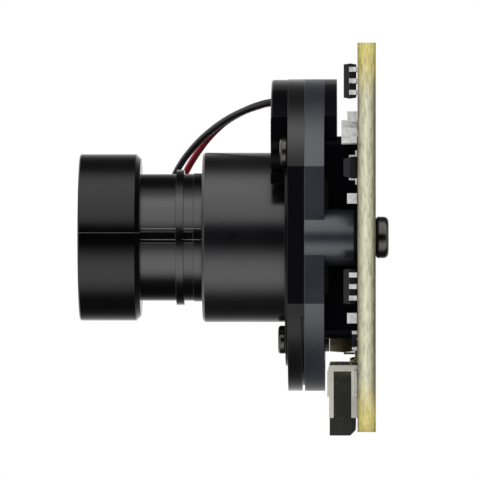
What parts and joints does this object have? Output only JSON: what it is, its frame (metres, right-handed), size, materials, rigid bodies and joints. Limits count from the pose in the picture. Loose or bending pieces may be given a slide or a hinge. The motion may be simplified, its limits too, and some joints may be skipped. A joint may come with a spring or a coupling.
{
  "type": "camera module",
  "caption": "Board camera module: a screw-in lens in a plastic holder with a motor-driven infrared-cut filter, on a square circuit board with a flat cable connector.",
  "frame": {"origin": "centre of the four corner holes, on the board's back face", "axes": "+X out of the board's back, so the lens looks along -X; +Z towards the board's top edge, away from the flat cable connector; +Y along the board to the wire plug's side"},
  "size_m": [0.0259, 0.032, 0.0324],
  "materials": {
    "board": "glass-fibre board with a dark solder mask on both faces and bare cut edges",
    "holder_plastic": "moulded dark grey plastic, satin",
    "cover_plastic": "moulded black plastic, semi-gloss",
    "screw_steel": "black-finished steel",
    "motor_steel": "plain steel",
    "magnet": "nickel-plated magnet",
    "lever_plastic": "natural acetal",
    "coil_copper": "enamelled copper wire",
    "bobbin_plastic": "moulded plastic",
    "tinned_metal": "tinned leads and solder",
    "gold_metal": "gold-flashed contacts",
    "ir_cut_glass": "coated filter glass, pale cyan with a red sheen",
    "clear_glass": "clear coated glass",
    "lens_glass": "coated optical glass",
    "lens_metal": "black anodised aluminium, satin",
    "lens_black": "matt black anodised rings",
    "sensor_ceramic": "dark package",
    "sensor_silicon": "iridescent silicon",
    "connector_ivory": "ivory high-temperature plastic",
    "connector_black": "black plastic",
    "chip_black": "moulded epoxy",
    "capacitor_ceramic": "fired ceramic",
    "resistor_black": "glazed resistor film on ceramic",
    "ferrite": "dark ferrite",
    "tantalum_resin": "moulded yellow-tan resin",
    "wire_black": "soft plastic insulation",
    "wire_red": "soft plastic insulation"
  },
  "bodies": {
    "camera_body": {"board": "board", "sensor_package": "sensor_ceramic", "sensor_die": "sensor_silicon", "sensor_lid": "clear_glass", "holder_base": "holder_plastic", "holder_front": "holder_plastic", "motor_cover": "cover_plastic", "board_screws": "screw_steel", "cover_screws": "screw_steel", "yoke": "motor_steel", "coil_bobbin": "bobbin_plastic", "coil_winding": "coil_copper", "coil_terminals": "tinned_metal", "rotor_shaft": "motor_steel", "ffc_housing": "connector_ivory", "ffc_contacts": "gold_metal", "ffc_hold_downs": "tinned_metal", "upper_chip_body": "chip_black", "upper_chip_leads": "tinned_metal", "middle_chip_body": "chip_black", "middle_chip_leads": "tinned_metal", "lower_chip_body": "chip_black", "lower_chip_leads": "tinned_metal", "capacitor_bodies": "capacitor_ceramic", "capacitor_ends": "tinned_metal", "resistor_bodies": "resistor_black", "resistor_ends": "tinned_metal", "inductor": "ferrite", "inductor_ends": "tinned_metal", "tantalum_body": "tantalum_resin", "tantalum_ends": "tinned_metal", "wire_header": "connector_ivory", "header_pins": "tinned_metal", "wire_plug": "connector_ivory", "black_wire": "wire_black", "red_wire": "wire_red"},
    "lens_glass_stack": {"front_element": "lens_glass", "short_spacer": "lens_black", "middle_element": "lens_glass", "aperture_stop": "lens_black", "long_spacer": "lens_black", "rear_element": "lens_glass"},
    "lens_body": {"lens_barrel": "lens_metal", "front_retainer": "lens_black", "rear_retainer": "lens_black"},
    "rotor": {"rotor_magnet": "magnet", "swing_lever": "lever_plastic"},
    "filter_slide_body": {"filter_carriage": "cover_plastic", "ir_cut_filter": "ir_cut_glass", "clear_filter": "clear_glass"},
    "connector_latch": {"ffc_latch": "connector_black"}
  },
  "joints": [
    {"name": "focus_travel", "type": "slide", "parent": "camera_body", "child": "lens_glass_stack", "axis": [1, 0, 0], "range_m": [-0.001, 0.00125]},
    {"name": "focus_turn", "type": "hinge", "parent": "lens_glass_stack", "child": "lens_body", "pos_m": [0, 0, 0], "axis": [1, 0, 0], "range_deg": [-720, 900]},
    {"name": "filter_slide", "type": "slide", "parent": "camera_body", "child": "filter_slide_body", "axis": [0, 1, 0], "range_m": [0, 0.007]},
    {"name": "rotor_swing", "type": "hinge", "parent": "camera_body", "child": "rotor", "pos_m": [-0.00595, -0.0026, 0.00935], "axis": [1, 0, 0], "range_deg": [0, 88.85]},
    {"name": "latch_pull", "type": "slide", "parent": "camera_body", "child": "connector_latch", "axis": [0, 0, -1], "range_m": [0, 0.001]}
  ],
  "couplings": [
    {"joint": "focus_travel", "follows": "focus_turn", "m_per_rad": 0.00007957},
    {"joint": "rotor_swing", "follows": "filter_slide", "rad_per_m": 221.5}
  ]
}
